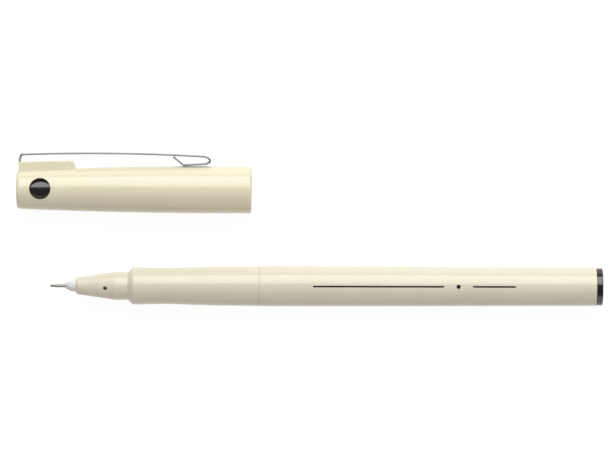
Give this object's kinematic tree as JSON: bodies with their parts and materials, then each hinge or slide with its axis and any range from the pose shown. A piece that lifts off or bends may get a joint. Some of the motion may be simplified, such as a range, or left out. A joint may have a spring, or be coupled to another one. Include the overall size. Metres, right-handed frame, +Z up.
{
  "type": "fineliner pen",
  "caption": "Capped fineliner pen with a tapered barrel, stepped nose, sleeved nib and end plug; its cap, with a window and a spring clip, lies beside it.",
  "frame": {"origin": "on the surface that the pen and the cap lie on, under the middle of the whole", "axes": "+X along the pen from its point to its end plug, +Y from the pen to the cap, +Z up"},
  "size_m": [0.1394, 0.0366, 0.0112],
  "materials": {
    "cream_plastic": "glossy moulded",
    "black_plastic": "glossy moulded",
    "pale_plastic": "slightly translucent",
    "nib_plastic": "ink stained",
    "sleeve_steel": "drawn tube",
    "clip_steel": "bright spring strip",
    "fibre": "ink-soaked fibre",
    "film": "clear wrap"
  },
  "bodies": {
    "pen": {"barrel": "cream_plastic", "front_section": "cream_plastic", "end_plug": "black_plastic", "nib_holder": "pale_plastic", "nib_sleeve": "sleeve_steel", "nib": "nib_plastic", "feed": "fibre", "ink_reservoir": "fibre", "reservoir_film": "film"},
    "cap": {"cap_shell": "cream_plastic", "inner_cap": "black_plastic", "clip_root": "clip_steel"},
    "clip": {"clip_arm": "clip_steel"}
  },
  "joints": [
    {"name": "cap_pull", "type": "slide", "parent": "pen", "child": "cap", "axis": [1, 0, 0], "range_m": [-0.05, 0.00192]},
    {"name": "clip_lift", "type": "hinge", "parent": "cap", "child": "clip", "pos_m": [-0.06844, 0.0174, 0.0056], "axis": [0, 0, 1], "range_deg": [0, 3], "stiffness_Nm_per_rad": 1.5}
  ]
}
